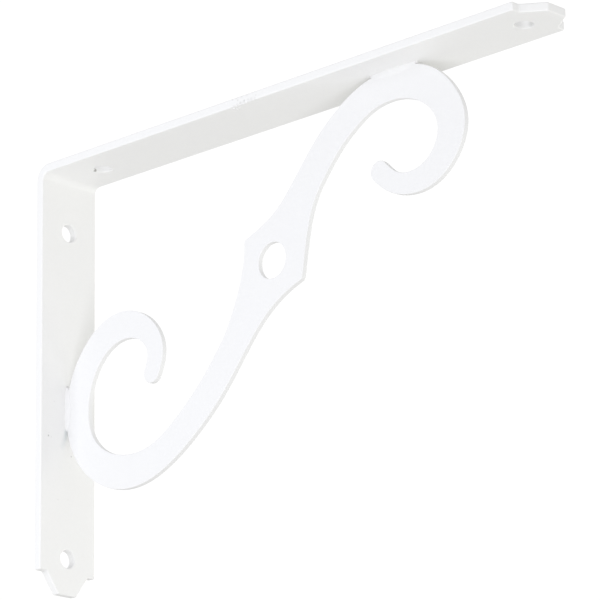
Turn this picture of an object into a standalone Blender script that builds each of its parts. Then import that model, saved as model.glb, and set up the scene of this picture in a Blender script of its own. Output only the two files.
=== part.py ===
"""Decorative shelf bracket: a bent flat-steel strap braced by a welded scroll plate.

Metres, +Z up. The wall plane is Y = 0 and the arm reaches along -Y. X runs across the strap.
The origin is on the wall face of the leg, on its centre line, midway between the two wall screw holes.
"""
import math

import bmesh
import bpy
import numpy as np
from mathutils import Vector

MM = 0.001

# Strap
STRAP_WIDTH = 0.025
STRAP_THICKNESS = 0.0030
ARM_REACH = 0.2241
LEG_DROP = 0.1503
BEND_INNER_RADIUS = 0.0025
BEND_STEPS = 10
TONGUE_LENGTH = 0.0074
SHOULDER_STEP = 0.0031
TIP_WIDTH = 0.0083
SCREW_HOLE_DIAMETER = 0.0062
SCREW_HOLE_STEPS = 40
ARM_HOLE_REACHES = (0.0202, 0.2107)
LEG_HOLE_DROPS = (0.0222, 0.1377)
CUTTER_DEPTH = 0.012
CUTTER_MARGIN = 0.004

# Scroll plate
PLATE_THICKNESS = 0.0020
CONTACT_GAP = 0.0003
BOSS_HOLE_DIAMETER = 0.0123
BOSS_HOLE_STEPS = 56
BOSS_CENTRE = (101.7, 54.6)
BOSS_LOW_POINT = (115.0, 63.8)
BOSS_HIGH_POINT = (89.0, 45.1)
BOSS_POINT_ROUNDING = 0.9
BOSS_POINT_STEPS = 5
BAND_STEP = 1.5
NOSE_STEPS = 10
FLANK_STEPS = 16

# Each band of the scroll, from its rounded end to the boss: reach from the wall, drop below the top
# face and width across the band, all in millimetres. A cubic curve runs through these stations.
LOWER_BAND = (
    (44.8, 80.9, 7.2),
    (46.7, 73.8, 7.5),
    (42.5, 65.9, 8.2),
    (34.6, 62.0, 9.5),
    (25.6, 62.4, 10.5),
    (16.7, 68.0, 10.6),
    (10.6, 77.4, 11.0),
    (8.5, 87.7, 11.2),
    (10.7, 98.4, 10.7),
    (17.6, 107.0, 11.0),
    (27.7, 112.0, 11.7),
    (38.7, 112.8, 11.5),
    (50.0, 109.4, 10.9),
    (61.0, 102.4, 11.3),
    (72.4, 92.6, 11.6),
    (82.2, 81.4, 11.7),
)
UPPER_BAND = (
    (149.5, 35.8, 7.1),
    (154.5, 40.2, 6.9),
    (162.2, 42.7, 7.5),
    (170.8, 41.3, 9.1),
    (177.8, 35.4, 10.5),
    (180.5, 27.2, 11.5),
    (177.8, 19.1, 11.2),
    (171.3, 12.4, 11.5),
    (163.2, 8.8, 11.3),
    (154.7, 8.1, 10.6),
    (146.2, 9.3, 10.8),
    (137.2, 13.5, 11.2),
    (127.7, 20.8, 11.6),
    (119.7, 29.7, 12.0),
)

# Flanks of the boss: the direction in which each meets its point, and how far the curve holds its
# first and its last direction, in millimetres
LOWER_BAND_TO_LOW_POINT = ((0.95, -0.31), 14.0, 14.5)
LOWER_BAND_TO_HIGH_POINT = ((-0.10, -1.00), 7.0, 10.5)
UPPER_BAND_TO_LOW_POINT = ((-0.17, 0.98), 10.0, 11.5)
UPPER_BAND_TO_HIGH_POINT = ((-0.94, 0.35), 15.5, 16.0)

# White powder coat
STRAP_COLOUR = (0.87, 0.87, 0.85, 1.0)
SCROLL_COLOUR = (0.86, 0.87, 0.88, 1.0)
PAINT_ROUGHNESS = 0.45
SHARP_ANGLE = math.radians(30)

# Height of the arm's top face above the origin
TOP_HEIGHT = sum(LEG_HOLE_DROPS) / 2


def clear_scene():
    for obj in list(bpy.data.objects):
        bpy.data.objects.remove(obj, do_unlink=True)


def object_point(across, reach, drop):
    """Point in the object's frame, from distances across the strap, out from the wall and down."""
    return (across, -reach, TOP_HEIGHT - drop)


def prism(name, corners, direction, length):
    """Closed prism: a flat loop of corners swept along the direction."""
    bm = bmesh.new()
    sweep = Vector(direction) * length
    near = [bm.verts.new(corner) for corner in corners]
    far = [bm.verts.new(Vector(corner) + sweep) for corner in corners]
    bm.faces.new(near)
    bm.faces.new(list(reversed(far)))
    for i in range(len(corners)):
        j = (i + 1) % len(corners)
        bm.faces.new((near[j], near[i], far[i], far[j]))
    bmesh.ops.recalc_face_normals(bm, faces=bm.faces[:])
    mesh = bpy.data.meshes.new(name)
    bm.to_mesh(mesh)
    bm.free()
    obj = bpy.data.objects.new(name, mesh)
    bpy.context.scene.collection.objects.link(obj)
    return obj


def round_cutter(centre, axis, diameter, steps):
    """Cylinder along X, Y or Z whose middle is at the centre."""
    radius = diameter / 2
    half = CUTTER_DEPTH / 2
    ring = []
    for i in range(steps):
        angle = 2 * math.pi * (i + 0.5) / steps
        ring.append((radius * math.cos(angle), radius * math.sin(angle)))
    x, y, z = centre
    if axis == "X":
        return prism("bore", [(x - half, y + a, z + b) for a, b in ring], (1, 0, 0), CUTTER_DEPTH)
    if axis == "Y":
        return prism("bore", [(x + a, y - half, z + b) for a, b in ring], (0, 1, 0), CUTTER_DEPTH)
    return prism("bore", [(x + a, y + b, z - half) for a, b in ring], (0, 0, 1), CUTTER_DEPTH)


def cut(target, cutters):
    """Takes the cutters away from the target and deletes them."""
    for cutter in cutters:
        cutter.hide_render = True
        cutter.display_type = "WIRE"
        modifier = target.modifiers.new("cut", "BOOLEAN")
        modifier.operation = "DIFFERENCE"
        modifier.solver = "EXACT"
        modifier.object = cutter
        with bpy.context.temp_override(object=target, active_object=target):
            bpy.ops.object.modifier_apply(modifier=modifier.name)
        bpy.data.objects.remove(cutter, do_unlink=True)


def finish(obj, colour):
    """Smooth shading on the round faces, and the piece's own white paint."""
    obj.data.shade_smooth()
    obj.data.set_sharp_from_angle(angle=SHARP_ANGLE)
    material = bpy.data.materials.new(obj.name + " paint")
    material.use_nodes = True
    shader = material.node_tree.nodes["Principled BSDF"]
    shader.inputs["Base Color"].default_value = colour
    shader.inputs["Roughness"].default_value = PAINT_ROUGHNESS
    shader.inputs["Metallic"].default_value = 0.0
    obj.data.materials.clear()
    obj.data.materials.append(material)


def strap_profile():
    """Side view of the bent strap, as (reach, drop)."""
    outer = BEND_INNER_RADIUS + STRAP_THICKNESS
    profile = [(0.0, LEG_DROP)]
    for i in range(BEND_STEPS + 1):
        angle = math.pi / 2 * i / BEND_STEPS
        profile.append((outer - outer * math.cos(angle), outer - outer * math.sin(angle)))
    profile.append((ARM_REACH, 0.0))
    profile.append((ARM_REACH, STRAP_THICKNESS))
    for i in range(BEND_STEPS, -1, -1):
        angle = math.pi / 2 * i / BEND_STEPS
        inner_reach = outer - BEND_INNER_RADIUS * math.cos(angle)
        inner_drop = outer - BEND_INNER_RADIUS * math.sin(angle)
        profile.append((inner_reach, inner_drop))
    profile.append((STRAP_THICKNESS, LEG_DROP))
    return profile


def end_waste(side):
    """What is cut away on one side of a strap end, as (across, distance back from the tip)."""
    half = STRAP_WIDTH / 2
    return [
        (side * TIP_WIDTH / 2, -CUTTER_MARGIN),
        (side * TIP_WIDTH / 2, 0.0),
        (side * (half - SHOULDER_STEP), TONGUE_LENGTH),
        (side * (half + CUTTER_MARGIN), TONGUE_LENGTH),
        (side * (half + CUTTER_MARGIN), -CUTTER_MARGIN),
    ]


def build_strap():
    half = STRAP_WIDTH / 2
    profile = [object_point(-half, reach, drop) for reach, drop in strap_profile()]
    strap = prism("strap", profile, (1, 0, 0), STRAP_WIDTH)
    start = -CUTTER_DEPTH / 2
    cutters = []
    for side in (-1, 1):
        arm_loop = [object_point(across, ARM_REACH - back, start) for across, back in end_waste(side)]
        cutters.append(prism("arm end waste", arm_loop, (0, 0, -1), CUTTER_DEPTH))
        leg_loop = [object_point(across, start, LEG_DROP - back) for across, back in end_waste(side)]
        cutters.append(prism("leg end waste", leg_loop, (0, -1, 0), CUTTER_DEPTH))
    for reach in ARM_HOLE_REACHES:
        cutters.append(round_cutter(object_point(0, reach, 0), "Z", SCREW_HOLE_DIAMETER, SCREW_HOLE_STEPS))
    for drop in LEG_HOLE_DROPS:
        cutters.append(round_cutter(object_point(0, 0, drop), "Y", SCREW_HOLE_DIAMETER, SCREW_HOLE_STEPS))
    cut(strap, cutters)
    finish(strap, STRAP_COLOUR)


def curve_through(stations):
    """Cubic curve through the stations, with points about BAND_STEP apart."""
    p = np.array(stations)
    count = len(p)
    chord = np.hypot(*np.diff(p[:, :2], axis=0).T)
    system = np.zeros((count, count))
    target = np.zeros((count, 3))
    system[0, 0] = 1.0
    system[-1, -1] = 1.0
    for i in range(1, count - 1):
        system[i, i - 1:i + 2] = chord[i - 1], 2 * (chord[i - 1] + chord[i]), chord[i]
        target[i] = 6 * ((p[i + 1] - p[i]) / chord[i] - (p[i] - p[i - 1]) / chord[i - 1])
    moment = np.linalg.solve(system, target)
    points = []
    for i in range(count - 1):
        h = chord[i]
        pieces = max(1, round(h / BAND_STEP))
        for j in range(pieces):
            done = h * j / pieces
            left = h - done
            cubic = (moment[i] * left ** 3 + moment[i + 1] * done ** 3) / (6 * h)
            linear = (p[i] / h - moment[i] * h / 6) * left + (p[i + 1] / h - moment[i + 1] * h / 6) * done
            points.append(cubic + linear)
    points.append(p[-1])
    return np.array(points)


def band(stations):
    """A band's inner edge, its outer edge and its rounded end, from the inner edge to the outer."""
    line = curve_through(stations)
    centre = line[:, :2]
    along = np.gradient(centre, axis=0)
    along /= np.hypot(*along.T)[:, None]
    inward = np.column_stack((along[:, 1], -along[:, 0]))
    half = line[:, 2:] / 2
    nose = []
    for i in range(1, NOSE_STEPS):
        angle = math.pi * i / NOSE_STEPS
        nose.append(centre[0] + half[0] * (inward[0] * math.cos(angle) - along[0] * math.sin(angle)))
    return centre + inward * half, centre - inward * half, np.array(nose)


def flank(edge, point, shape):
    """Curve from the end of a band's edge towards a point of the boss, without either end."""
    arrival, first_hold, last_hold = shape
    start = edge[-1]
    leaving = edge[-1] - edge[-3]
    leaving /= np.hypot(*leaving)
    end = np.array(point)
    after = start + leaving * first_hold
    before = end - np.array(arrival) / math.hypot(*arrival) * last_hold
    points = []
    for i in range(1, FLANK_STEPS):
        t = i / FLANK_STEPS
        s = 1 - t
        points.append(s ** 3 * start + 3 * s * s * t * after + 3 * s * t * t * before + t ** 3 * end)
    return np.array(points)


def rounded_point(before, point, after):
    """Small curve round a point of the boss, between the flanks that come before and after it."""
    tip = np.array(point)
    start = tip + (before - tip) / np.hypot(*(before - tip)) * BOSS_POINT_ROUNDING
    end = tip + (after - tip) / np.hypot(*(after - tip)) * BOSS_POINT_ROUNDING
    points = []
    for i in range(BOSS_POINT_STEPS + 1):
        t = i / BOSS_POINT_STEPS
        points.append((1 - t) ** 2 * start + 2 * t * (1 - t) * tip + t * t * end)
    return np.array(points)


def scroll_outline():
    """The scroll's closed outline in metres, as (reach, drop), kept clear of the strap's inner faces."""
    low_inner, low_outer, low_nose = band(LOWER_BAND)
    up_inner, up_outer, up_nose = band(UPPER_BAND)
    to_low = flank(low_outer, BOSS_LOW_POINT, LOWER_BAND_TO_LOW_POINT)
    from_low = flank(up_inner, BOSS_LOW_POINT, UPPER_BAND_TO_LOW_POINT)[::-1]
    to_high = flank(up_outer, BOSS_HIGH_POINT, UPPER_BAND_TO_HIGH_POINT)
    from_high = flank(low_inner, BOSS_HIGH_POINT, LOWER_BAND_TO_HIGH_POINT)[::-1]
    outline = np.vstack((
        low_outer,
        to_low,
        rounded_point(to_low[-1], BOSS_LOW_POINT, from_low[0]),
        from_low,
        up_inner[::-1],
        up_nose,
        up_outer,
        to_high,
        rounded_point(to_high[-1], BOSS_HIGH_POINT, from_high[0]),
        from_high,
        low_inner[::-1],
        low_nose,
    ))
    return np.maximum(outline * MM, STRAP_THICKNESS + CONTACT_GAP)


def build_scroll():
    half = PLATE_THICKNESS / 2
    loop = [object_point(-half, reach, drop) for reach, drop in scroll_outline()]
    scroll = prism("scroll_brace", loop, (1, 0, 0), PLATE_THICKNESS)
    centre = object_point(0, BOSS_CENTRE[0] * MM, BOSS_CENTRE[1] * MM)
    cut(scroll, [round_cutter(centre, "X", BOSS_HOLE_DIAMETER, BOSS_HOLE_STEPS)])
    finish(scroll, SCROLL_COLOUR)


clear_scene()
build_strap()
build_scroll()
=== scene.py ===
"""Looks of the decorative shelf bracket: white powder-coated steel in plain soft studio light."""
import math

import bmesh
import bpy
from mathutils import Matrix, Vector, noise


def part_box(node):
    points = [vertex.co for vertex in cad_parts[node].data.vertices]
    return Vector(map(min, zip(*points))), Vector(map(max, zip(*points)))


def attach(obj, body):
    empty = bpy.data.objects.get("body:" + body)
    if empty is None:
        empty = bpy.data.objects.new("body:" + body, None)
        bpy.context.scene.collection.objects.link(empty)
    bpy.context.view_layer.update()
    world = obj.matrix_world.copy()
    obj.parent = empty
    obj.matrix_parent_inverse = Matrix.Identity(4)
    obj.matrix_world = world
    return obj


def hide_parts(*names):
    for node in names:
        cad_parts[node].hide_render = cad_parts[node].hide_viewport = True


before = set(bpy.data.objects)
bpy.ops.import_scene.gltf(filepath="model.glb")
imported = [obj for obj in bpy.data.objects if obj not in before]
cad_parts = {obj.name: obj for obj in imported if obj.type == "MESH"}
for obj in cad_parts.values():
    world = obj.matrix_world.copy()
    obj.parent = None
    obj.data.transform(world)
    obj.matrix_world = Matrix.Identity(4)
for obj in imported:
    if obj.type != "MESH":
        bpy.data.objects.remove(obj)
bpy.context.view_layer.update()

MM = 0.001

# The object's frame: the wall face is Y = 0, the arm reaches along -Y and X runs across the strap
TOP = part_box("strap")[1].z
STRAP_THICKNESS = 3.0 * MM
PLATE_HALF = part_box("scroll_brace")[1].x

# Rounding of the cut edges under the paint
STRAP_EDGE_ROUNDING = 0.50 * MM
PLATE_EDGE_ROUNDING = 0.26 * MM
EDGE_SEGMENTS = 4
SHARP_ANGLE = math.radians(32)

# Mesh cleaning: corners merged, flat faces made whole and slivers closed below these measures
MERGE_DISTANCE = 0.001 * MM
FLAT_ANGLE = math.radians(0.2)
SLIVER_WIDTH = 0.0005 * MM

# Welds. A bead lies in the corner between strap and plate: its width on the strap, its height on
# the plate, how deep it sinks into the strap, how hollow its face is, and the share of its width by
# which its upper edge dips into the plate
WELD_WIDTH = 0.80 * MM
WELD_HEIGHT = 2.6 * MM
WELD_SINK = 0.10 * MM
WELD_HOLLOW = 1.3
WELD_DIP = 0.10
WELD_FACE_STEPS = 6
WELD_STATION_GAP = 0.5 * MM
WELD_MIN_STATIONS = 12
# Towards its ends a bead runs out, in height by two powers and in width by its own bluntness
WELD_HEIGHT_BLUNTNESS = 3
WELD_HEIGHT_FULLNESS = 0.7
WELD_END_HEIGHT = 0.12
WELD_END_WIDTH = 0.05
ARM_WELD_BLUNTNESS = 2.0
LEG_WELD_BLUNTNESS = 5.0
# Its size sways by this share over this length
WELD_SWAY = 0.15
WELD_SWAY_LENGTH = 2.5 * MM
ARM_WELD_REACHES = (146.6 * MM, 166.6 * MM)
LEG_WELD_DROPS = (77.6 * MM, 93.3 * MM)

# Scar on the arm's near lower edge: dents eaten out of it and lumps of paint, by across, reach,
# drop and radius in mm
SCAR_DENTS = (
    (-12.9, 95.9, 3.35, 0.85), (-12.9, 97.1, 3.30, 0.95), (-12.9, 98.4, 3.30, 1.00),
    (-12.9, 99.7, 3.30, 0.95), (-12.9, 100.8, 3.30, 0.90), (-12.9, 103.3, 3.35, 0.95),
    (-12.9, 104.6, 3.35, 0.90),
)
SCAR_LUMPS = (
    (-11.95, 101.9, 2.62, 0.50), (-11.5, 95.3, 3.0, 0.32), (-10.8, 96.0, 3.0, 0.28),
    (-10.0, 95.4, 3.0, 0.26), (-10.9, 97.5, 3.0, 0.22),
)
LUMP_SUBDIVISIONS = 3
LUMP_UNEVENNESS = 0.18
LUMP_NOISE_SCALE = 1.7
LUMP_SEED_STEP = 3.1

# Marks in the strap's paint: across, reach, drop, radius in mm and how much of the paint they hide
STRAP_CHIPS_AND_HOLE_SHADE = (
    (-9.1, 3.0, 96.2, 0.45, 0.55), (-7.7, 3.0, 96.4, 0.35, 0.15), (-8.9, 3.0, 95.1, 0.30, 0.12),
    (1.4, 3.0, 101.8, 0.40, 0.40), (-4.6, 3.0, 117.8, 0.35, 0.15), (0.0, 3.0, 117.1, 0.35, 0.12),
    # the second mark on the next line, at reach 17.2, is painted shade at the rim of the hole near
    # the bend
    (-6.5, 3.0, 83.7, 0.35, 0.12), (-0.80, 17.2, 2.90, 0.95, 0.95), (-12.5, 98.2, 1.2, 0.50, 0.16),
    (-12.4, 99.2, 2.3, 0.50, 0.22), (-12.4, 101.2, 2.1, 0.50, 0.25),
    (-12.5, 106.5, 1.6, 0.40, 0.15), (-12.4, 95.8, 0.5, 0.45, 0.18),
)
# Grey along the scar: worn paint with painted shade of its dents; painted shade in the arm tip's
# hole
STRAP_SCAR_GREY_AND_PAINTED_SHADE = (
    (-12.4, 96.4, 2.9, 0.80, 0.20), (-12.4, 98.0, 2.7, 0.85, 0.22),
    (-12.4, 99.7, 2.6, 0.85, 0.22), (-12.4, 101.0, 2.3, 0.80, 0.25),
    (-12.4, 102.9, 2.4, 0.95, 0.25), (-12.4, 104.4, 2.5, 0.95, 0.25),
    (-12.4, 105.9, 2.7, 0.85, 0.22), (-12.4, 100.0, 0.3, 1.00, 0.20),
    (-12.4, 102.5, 0.3, 1.00, 0.18), (-12.4, 97.6, 0.3, 1.00, 0.15),
    # painted shade on the wall of the hole at the arm's tip
    (3.05, 211.2, 1.5, 1.50, 0.50), (0.9, 207.7, 1.5, 2.40, 0.30),
)
# Painted shade: a bluish shadow painted beside the leg weld's lower end, where the plate leaves the
# leg
WELD_END_PAINTED_SHADE = (
    (-0.9, 3.0, 93.3, 1.3, 0.45), (-1.0, 3.0, 94.6, 1.5, 0.42), (-1.4, 3.0, 96.0, 1.5, 0.34),
    (-2.0, 3.0, 97.5, 1.6, 0.26), (-2.7, 3.0, 99.0, 1.7, 0.16),
)
# Each kind of mark: its places, the colour that shows and the share of a radius that it covers
# fully
STRAP_MARKS = (
    # painted shadow beside the leg weld's lower end
    (WELD_END_PAINTED_SHADE, (0.52, 0.58, 0.61, 1.0), 0.1),
    # grey of the scar with painted shade of its dents, and painted shade in the arm tip's hole
    (STRAP_SCAR_GREY_AND_PAINTED_SHADE, (0.55, 0.55, 0.54, 1.0), 0.3),
    # dark chips and specks, and painted shade at the rim of the hole near the bend
    (STRAP_CHIPS_AND_HOLE_SHADE, (0.30, 0.30, 0.29, 1.0), 0.4),
)

# Powder coat. Its noises are given by scale and detail, and the middle range of a noise is spread
# over its effect
STRAP_PAINT = (0.870, 0.870, 0.866)
PLATE_PAINT = (0.848, 0.848, 0.850)
DARK_TONE = 0.985
GRAIN_TONE_NOISE = (1100.0, 2.0)
CLOUD_TONE_NOISE = (45.0, 2.0)
GLOSS_NOISE = (350.0, 2.0)
NOISE_RANGE = (0.3, 0.7)
CLOUD_RANGE = (0.35, 0.65)
CLOUD_STRENGTH = 0.35
ROUGHNESS_RANGE = (0.37, 0.49)
SPECULAR_LEVEL = 0.5
# Its relief, from broad to fine: waves, orange peel and grain, by scale, detail and depth
PAINT_RELIEF = (
    (160.0, 1.0, 0.05 * MM),
    (900.0, 1.5, 0.022 * MM),
    (2600.0, 1.0, 0.006 * MM),
)

# Camera, from the strap's edges in the photo
CAMERA_PLACE = (-0.78783, -0.86238, -0.31781)
CAMERA_HEADING = math.radians(46.4368)
CAMERA_LOOK_UP = math.radians(16.7543)
CAMERA_ROLL = math.radians(0.8961)
CAMERA_LENS = 211.21
CAMERA_SENSOR = 36.0
CAMERA_CLIP = (0.05, 50.0)

# Studio: a pale floor, an even light from all around, and soft boxes by place, size, power and
# colour
FLOOR_HEIGHT = -1.2
FLOOR_SIZE = 16.0
FLOOR_COLOUR = (0.80, 0.795, 0.775, 1.0)
FLOOR_ROUGHNESS = 0.8
WORLD_COLOUR = (0.993, 0.994, 1.0, 1.0)
WORLD_STRENGTH = 0.75
BACKDROP_COLOUR = (1.0, 1.0, 1.0, 1.0)
BACKDROP_STRENGTH = 1.05
LIGHT_TARGET = (0.0, -0.1, 0.0)
LIGHTS = (
    ("left near", (-0.4, 0.07, 0.0), 0.25, 0.38, (0.90, 0.93, 1.0)),
    ("left", (-1.55, -0.1, 0.41), 0.6, 2.1, (0.84, 0.87, 1.0)),
    ("left low", (-1.19, -0.65, -0.92), 0.6, 2.8, (0.95, 0.96, 1.0)),
    ("front left low", (-0.84, -1.10, -0.92), 0.6, 6.2, (0.97, 0.97, 1.0)),
    ("front right", (0.45, -0.9, -0.2), 0.5, 0.55, (1.0, 1.0, 0.88)),
    ("right near", (0.5, -0.15, 0.0), 0.35, 0.90, (0.99, 1.0, 0.88)),
)


def object_point(across, reach, drop):
    """Point in the object's frame, from distances across the strap, out from the wall and down."""
    return Vector((across, -reach, TOP - drop))


def new_object(name, bm):
    """Object of a finished bmesh, linked to the scene."""
    mesh = bpy.data.meshes.new(name)
    bm.to_mesh(mesh)
    bm.free()
    obj = bpy.data.objects.new(name, mesh)
    bpy.context.scene.collection.objects.link(obj)
    return obj


def combine(target, others, operation):
    """Boolean of the target with each of the others, which are then deleted."""
    for other in others:
        modifier = target.modifiers.new("combine", "BOOLEAN")
        modifier.operation = operation
        modifier.solver = "EXACT"
        modifier.object = other
        with bpy.context.temp_override(object=target, active_object=target):
            bpy.ops.object.modifier_apply(modifier=modifier.name)
        bpy.data.objects.remove(other, do_unlink=True)


def close_slivers(obj):
    """Close up the faces without area that a boolean can leave."""
    bm = bmesh.new()
    bm.from_mesh(obj.data)
    bmesh.ops.dissolve_degenerate(bm, dist=SLIVER_WIDTH, edges=bm.edges[:])
    bm.to_mesh(obj.data)
    bm.free()


def rounded_copy(node, name, rounding):
    """Copy of a CAD node with its flat faces whole again and its sharp edges rounded."""
    bm = bmesh.new()
    bm.from_mesh(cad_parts[node].data)
    bmesh.ops.remove_doubles(bm, verts=bm.verts[:], dist=MERGE_DISTANCE)
    bmesh.ops.dissolve_limit(bm, angle_limit=FLAT_ANGLE, verts=bm.verts[:], edges=bm.edges[:])
    sharp = [edge for edge in bm.edges if edge.calc_face_angle(0.0) > SHARP_ANGLE]
    bmesh.ops.bevel(bm, geom=sharp, offset=rounding, segments=EDGE_SEGMENTS, profile=0.5,
                    affect="EDGES", clamp_overlap=False)
    bmesh.ops.recalc_face_normals(bm, faces=bm.faces[:])
    return new_object(name, bm)


def lump(place, seed):
    """Small uneven closed blob at a place given by across, reach, drop and radius in mm."""
    across, reach, drop, radius = (value * MM for value in place)
    bm = bmesh.new()
    bmesh.ops.create_icosphere(bm, subdivisions=LUMP_SUBDIVISIONS, radius=1.0)
    for vertex in bm.verts:
        spot = vertex.co * LUMP_NOISE_SCALE + Vector((seed * LUMP_SEED_STEP, seed, 0.0))
        swell = 1.0 + LUMP_UNEVENNESS * noise.noise(spot)
        vertex.co = vertex.co * radius * swell + object_point(across, reach, drop)
    return new_object("lump", bm)


def bead_face(width, height):
    """Half of a bead's section, from the strap up to the plate: distance across, then height."""
    points = [(PLATE_HALF + width, -WELD_SINK)]
    for k in range(WELD_FACE_STEPS + 1):
        rise = k / WELD_FACE_STEPS
        inward = width * ((1.0 - rise) ** WELD_HOLLOW - WELD_DIP)
        points.append((PLATE_HALF + inward, height * rise))
    return points


def weld_bead(place, along, away, length, bluntness, seed):
    """Closed bead on both sides of the plate, which runs along the strap and rises away from it."""
    across = Vector((1.0, 0.0, 0.0))
    stations = max(WELD_MIN_STATIONS, round(length / WELD_STATION_GAP))
    bm = bmesh.new()
    rings = []
    for i in range(stations + 1):
        t = i / stations
        off_middle = abs(2 * t - 1)
        fullness = (1.0 - off_middle ** WELD_HEIGHT_BLUNTNESS) ** WELD_HEIGHT_FULLNESS
        height_share = max(WELD_END_HEIGHT, fullness)
        width_share = max(WELD_END_WIDTH, 1.0 - off_middle ** bluntness)
        halves = []
        for side in (1, -1):
            ripple = noise.noise(Vector((t * length / WELD_SWAY_LENGTH, seed + side, 0.0)))
            sway = 1.0 + WELD_SWAY * ripple
            face = bead_face(WELD_WIDTH * width_share * sway, WELD_HEIGHT * height_share * sway)
            halves.append([(side * a, b) for a, b in face])
        loop = halves[0] + halves[1][::-1]
        middle = place + along * (length * t)
        rings.append([bm.verts.new(middle + across * a + away * b) for a, b in loop])
    for first, second in zip(rings, rings[1:]):
        for k in range(len(first)):
            m = (k + 1) % len(first)
            bm.faces.new((first[k], first[m], second[m], second[k]))
    bm.faces.new(rings[0][::-1])
    bm.faces.new(rings[-1])
    bmesh.ops.recalc_face_normals(bm, faces=bm.faces[:])
    return new_object("bead", bm)


def smooth(obj):
    """Smooth shading whose flat faces stay flat."""
    obj.data.shade_smooth()
    modifier = obj.modifiers.new("even normals", "WEIGHTED_NORMAL")
    modifier.keep_sharp = False
    modifier.weight = 100


def powder_coat(name, paint, marks=()):
    """White powder coat: slight changes of tone and gloss, a faint relief and the given marks."""
    material = bpy.data.materials.new(name)
    material.use_nodes = True
    nodes = material.node_tree.nodes
    links = material.node_tree.links
    shader = nodes["Principled BSDF"]
    place = nodes.new("ShaderNodeTexCoord").outputs["Object"]

    def noise_of(scale, detail):
        texture = nodes.new("ShaderNodeTexNoise")
        texture.inputs["Scale"].default_value = scale
        texture.inputs["Detail"].default_value = detail
        links.new(place, texture.inputs["Vector"])
        return texture.outputs["Fac"]

    def spread(value, start, end, low, high):
        node = nodes.new("ShaderNodeMapRange")
        node.inputs["From Min"].default_value = start
        node.inputs["From Max"].default_value = end
        node.inputs["To Min"].default_value = low
        node.inputs["To Max"].default_value = high
        links.new(value, node.inputs["Value"])
        return node.outputs["Result"]

    def blend(factor, first, second):
        node = nodes.new("ShaderNodeMix")
        node.data_type = "RGBA"
        links.new(factor, node.inputs["Factor"])
        for socket, colour in (("A", first), ("B", second)):
            if isinstance(colour, bpy.types.NodeSocket):
                links.new(colour, node.inputs[socket])
            else:
                node.inputs[socket].default_value = colour
        return node.outputs["Result"]

    def bump(height, depth, below):
        node = nodes.new("ShaderNodeBump")
        node.inputs["Strength"].default_value = 1.0
        node.inputs["Distance"].default_value = depth
        links.new(height, node.inputs["Height"])
        if below:
            links.new(below, node.inputs["Normal"])
        return node.outputs["Normal"]

    def tone(share):
        return [channel * share for channel in paint] + [1.0]

    grain = spread(noise_of(*GRAIN_TONE_NOISE), *NOISE_RANGE, 0.0, 1.0)
    colour = blend(grain, tone(DARK_TONE), tone(1.0))
    clouds = spread(noise_of(*CLOUD_TONE_NOISE), *CLOUD_RANGE, 0.0, CLOUD_STRENGTH)
    colour = blend(clouds, colour, tone(DARK_TONE))
    for places, mark_colour, core in marks:
        for across, reach, drop, radius, cover in places:
            distance = nodes.new("ShaderNodeVectorMath")
            distance.operation = "DISTANCE"
            links.new(place, distance.inputs[0])
            centre = object_point(across * MM, reach * MM, drop * MM)
            distance.inputs[1].default_value = centre
            mask = spread(distance.outputs["Value"], radius * core * MM, radius * MM, cover, 0.0)
            colour = blend(mask, colour, mark_colour)
    links.new(colour, shader.inputs["Base Color"])
    gloss = spread(noise_of(*GLOSS_NOISE), *NOISE_RANGE, *ROUGHNESS_RANGE)
    links.new(gloss, shader.inputs["Roughness"])
    relief = None
    for scale, detail, depth in PAINT_RELIEF:
        relief = bump(noise_of(scale, detail), depth, relief)
    links.new(relief, shader.inputs["Normal"])
    shader.inputs["Specular IOR Level"].default_value = SPECULAR_LEVEL
    return material


def make_strap():
    strap = rounded_copy("strap", "painted_strap", STRAP_EDGE_ROUNDING)
    combine(strap, [lump(place, seed) for seed, place in enumerate(SCAR_DENTS)], "DIFFERENCE")
    combine(strap, [lump(place, seed) for seed, place in enumerate(SCAR_LUMPS)], "UNION")
    smooth(strap)
    strap.data.materials.clear()
    strap.data.materials.append(powder_coat("strap_powder_coat", STRAP_PAINT, STRAP_MARKS))
    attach(strap, "root")
    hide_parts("strap")


def make_scroll():
    scroll = rounded_copy("scroll_brace", "painted_scroll", PLATE_EDGE_ROUNDING)
    arm_start = object_point(0, ARM_WELD_REACHES[0], STRAP_THICKNESS)
    leg_start = object_point(0, STRAP_THICKNESS, LEG_WELD_DROPS[0])
    arm_length = ARM_WELD_REACHES[1] - ARM_WELD_REACHES[0]
    leg_length = LEG_WELD_DROPS[1] - LEG_WELD_DROPS[0]
    outward = Vector((0.0, -1.0, 0.0))
    down = Vector((0.0, 0.0, -1.0))
    combine(scroll, [
        weld_bead(arm_start, outward, down, arm_length, ARM_WELD_BLUNTNESS, seed=1.0),
        weld_bead(leg_start, down, outward, leg_length, LEG_WELD_BLUNTNESS, seed=7.0),
    ], "UNION")
    close_slivers(scroll)
    smooth(scroll)
    scroll.data.materials.clear()
    scroll.data.materials.append(powder_coat("scroll_powder_coat", PLATE_PAINT))
    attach(scroll, "root")
    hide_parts("scroll_brace")


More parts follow.
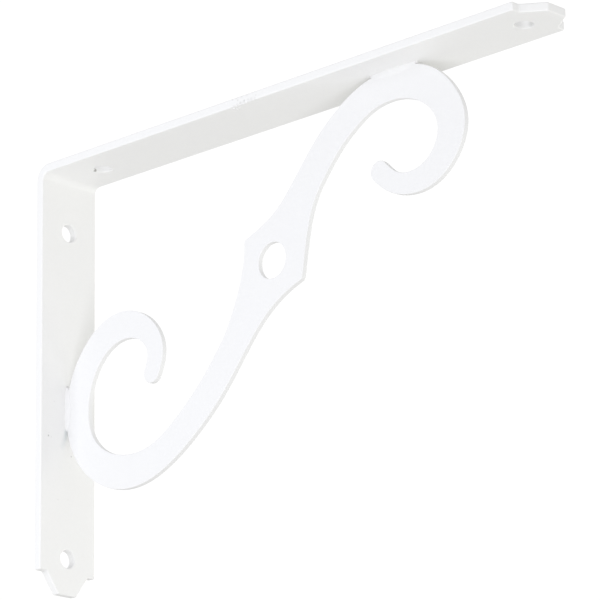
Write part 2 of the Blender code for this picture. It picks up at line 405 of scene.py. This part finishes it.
def make_camera():
    camera = bpy.data.objects.new("camera", bpy.data.cameras.new("camera"))
    bpy.context.scene.collection.objects.link(camera)
    camera.data.lens = CAMERA_LENS
    camera.data.sensor_width = CAMERA_SENSOR
    camera.data.clip_start, camera.data.clip_end = CAMERA_CLIP
    heading = Matrix.Rotation(-CAMERA_HEADING, 4, "Z")
    look_up = Matrix.Rotation(math.pi / 2 + CAMERA_LOOK_UP, 4, "X")
    roll = Matrix.Rotation(-CAMERA_ROLL, 4, "Z")
    camera.matrix_world = Matrix.Translation(CAMERA_PLACE) @ (heading @ look_up) @ roll
    bpy.context.scene.camera = camera


def make_light(name, place, size, power, colour):
    """Soft box that faces the bracket's middle."""
    data = bpy.data.lights.new(name, "AREA")
    data.shape = "SQUARE"
    data.size = size
    data.energy = power
    data.color = colour
    light = bpy.data.objects.new(name, data)
    bpy.context.scene.collection.objects.link(light)
    light.visible_camera = False
    light.location = place
    light.rotation_mode = "QUATERNION"
    light.rotation_quaternion = (Vector(LIGHT_TARGET) - Vector(place)).to_track_quat("-Z", "Y")


def make_floor():
    bm = bmesh.new()
    bmesh.ops.create_grid(bm, x_segments=1, y_segments=1, size=FLOOR_SIZE / 2)
    floor = new_object("floor", bm)
    floor.location = (0.0, 0.0, FLOOR_HEIGHT)
    material = bpy.data.materials.new("pale floor")
    material.use_nodes = True
    shader = material.node_tree.nodes["Principled BSDF"]
    shader.inputs["Base Color"].default_value = FLOOR_COLOUR
    shader.inputs["Roughness"].default_value = FLOOR_ROUGHNESS
    floor.data.materials.append(material)


def make_world():
    """White backdrop for the camera, and a dimmer even light for everything else."""
    world = bpy.data.worlds.new("studio")
    world.use_nodes = True
    nodes = world.node_tree.nodes
    links = world.node_tree.links
    light = nodes["Background"]
    light.inputs["Color"].default_value = WORLD_COLOUR
    light.inputs["Strength"].default_value = WORLD_STRENGTH
    backdrop = nodes.new("ShaderNodeBackground")
    backdrop.inputs["Color"].default_value = BACKDROP_COLOUR
    backdrop.inputs["Strength"].default_value = BACKDROP_STRENGTH
    ray = nodes.new("ShaderNodeLightPath")
    mix = nodes.new("ShaderNodeMixShader")
    links.new(ray.outputs["Is Camera Ray"], mix.inputs["Fac"])
    links.new(light.outputs["Background"], mix.inputs[1])
    links.new(backdrop.outputs["Background"], mix.inputs[2])
    links.new(mix.outputs["Shader"], nodes["World Output"].inputs["Surface"])
    bpy.context.scene.world = world
    bpy.context.scene.view_settings.view_transform = "Standard"


make_camera()
make_world()
make_floor()
for soft_box in LIGHTS:
    make_light(*soft_box)
make_strap()
make_scroll()
